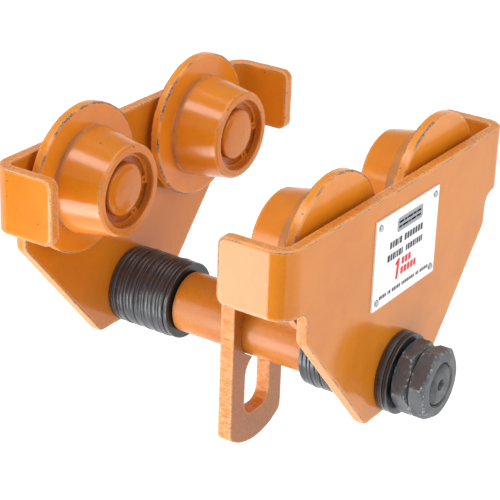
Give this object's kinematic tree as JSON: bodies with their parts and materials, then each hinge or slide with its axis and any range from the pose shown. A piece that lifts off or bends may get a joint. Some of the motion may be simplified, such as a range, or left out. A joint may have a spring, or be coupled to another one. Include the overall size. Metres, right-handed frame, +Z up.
{
  "type": "beam trolley",
  "caption": "Push-type beam trolley: two bent side plates with flanged wheels on a beam's lower flange, joined by a spacer shaft that carries a slotted load plate.",
  "frame": {"origin": "midway between the four wheels, at the height where the middle of each tread runs on the beam's lower flange", "axes": "+X across the beam towards the plate with the nameplate, +Y along the beam, +Z up"},
  "size_m": [0.27, 0.254, 0.2257],
  "materials": {
    "plate_paint": "gloss enamel over pressed steel, chipped along the edges",
    "wheel_paint": "gloss enamel over machined cast iron, grey showing at rims and grooves",
    "shaft_paint": "overspray on bright bar",
    "load_plate_paint": "enamel over flame-cut steel",
    "black_oxide": "black oxide with bright worn edges",
    "nut_steel": "dark phosphated steel, scuffed corners",
    "thread_steel": "turned steel",
    "bearing_steel": "ground bearing steel",
    "cage_steel": "pressed sheet steel",
    "label": "white printed aluminium sheet",
    "rivet_steel": "plain aluminium drive rivet"
  },
  "bodies": {
    "carriage": {"left_side_plate": "plate_paint", "right_side_plate": "plate_paint", "suspension_shaft": "shaft_paint", "nameplate": "label", "nameplate_rivets": "rivet_steel", "left_inner_washers": "black_oxide", "left_outer_washers": "black_oxide", "left_inner_nut": "nut_steel", "left_outer_nut": "nut_steel", "right_inner_washers": "black_oxide", "right_outer_washers": "black_oxide", "right_inner_nut": "nut_steel", "right_outer_nut": "nut_steel", "left_front_axle_pin": "wheel_paint", "left_front_axle_spacer": "thread_steel", "left_front_bearing_inner_race": "bearing_steel", "left_rear_axle_pin": "wheel_paint", "left_rear_axle_spacer": "thread_steel", "left_rear_bearing_inner_race": "bearing_steel", "right_front_axle_pin": "wheel_paint", "right_front_axle_spacer": "thread_steel", "right_front_bearing_inner_race": "bearing_steel", "right_rear_axle_pin": "wheel_paint", "right_rear_axle_spacer": "thread_steel", "right_rear_bearing_inner_race": "bearing_steel"},
    "load_plate": {"load_plate": "load_plate_paint"},
    "left_front_wheel": {"left_front_wheel": "wheel_paint", "left_front_bearing_outer_race": "bearing_steel", "left_front_bearing_shields": "wheel_paint", "left_front_snap_ring": "wheel_paint"},
    "left_front_ball_set": {"left_front_bearing_balls": "bearing_steel", "left_front_bearing_cage": "cage_steel"},
    "left_rear_wheel": {"left_rear_wheel": "wheel_paint", "left_rear_bearing_outer_race": "bearing_steel", "left_rear_bearing_shields": "wheel_paint", "left_rear_snap_ring": "wheel_paint"},
    "left_rear_ball_set": {"left_rear_bearing_balls": "bearing_steel", "left_rear_bearing_cage": "cage_steel"},
    "right_front_wheel": {"right_front_wheel": "wheel_paint", "right_front_bearing_outer_race": "bearing_steel", "right_front_bearing_shields": "wheel_paint", "right_front_snap_ring": "wheel_paint"},
    "right_front_ball_set": {"right_front_bearing_balls": "bearing_steel", "right_front_bearing_cage": "cage_steel"},
    "right_rear_wheel": {"right_rear_wheel": "wheel_paint", "right_rear_bearing_outer_race": "bearing_steel", "right_rear_bearing_shields": "wheel_paint", "right_rear_snap_ring": "wheel_paint"},
    "right_rear_ball_set": {"right_rear_bearing_balls": "bearing_steel", "right_rear_bearing_cage": "cage_steel"}
  },
  "joints": [
    {"name": "left_front_wheel_spin", "type": "hinge", "parent": "carriage", "child": "left_front_wheel", "pos_m": [-0.0665, -0.0597, 0.0314], "axis": [1, 0, 0], "continuous": true},
    {"name": "left_front_ball_spin", "type": "hinge", "parent": "carriage", "child": "left_front_ball_set", "pos_m": [-0.0665, -0.0597, 0.0314], "axis": [1, 0, 0], "continuous": true},
    {"name": "left_rear_wheel_spin", "type": "hinge", "parent": "carriage", "child": "left_rear_wheel", "pos_m": [-0.0665, 0.0597, 0.0314], "axis": [1, 0, 0], "continuous": true},
    {"name": "left_rear_ball_spin", "type": "hinge", "parent": "carriage", "child": "left_rear_ball_set", "pos_m": [-0.0665, 0.0597, 0.0314], "axis": [1, 0, 0], "continuous": true},
    {"name": "right_front_wheel_spin", "type": "hinge", "parent": "carriage", "child": "right_front_wheel", "pos_m": [0.0665, -0.0597, 0.0314], "axis": [1, 0, 0], "continuous": true},
    {"name": "right_front_ball_spin", "type": "hinge", "parent": "carriage", "child": "right_front_ball_set", "pos_m": [0.0665, -0.0597, 0.0314], "axis": [1, 0, 0], "continuous": true},
    {"name": "right_rear_wheel_spin", "type": "hinge", "parent": "carriage", "child": "right_rear_wheel", "pos_m": [0.0665, 0.0597, 0.0314], "axis": [1, 0, 0], "continuous": true},
    {"name": "right_rear_ball_spin", "type": "hinge", "parent": "carriage", "child": "right_rear_ball_set", "pos_m": [0.0665, 0.0597, 0.0314], "axis": [1, 0, 0], "continuous": true},
    {"name": "load_plate_swing", "type": "hinge", "parent": "carriage", "child": "load_plate", "pos_m": [0, 0, -0.0646], "axis": [1, 0, 0], "range_deg": [-100, 100]}
  ],
  "couplings": [
    {"joint": "left_front_ball_spin", "follows": "left_front_wheel_spin", "ratio": 0.6185},
    {"joint": "left_rear_ball_spin", "follows": "left_rear_wheel_spin", "ratio": 0.6185},
    {"joint": "right_front_ball_spin", "follows": "right_front_wheel_spin", "ratio": 0.6185},
    {"joint": "right_rear_ball_spin", "follows": "right_rear_wheel_spin", "ratio": 0.6185}
  ]
}
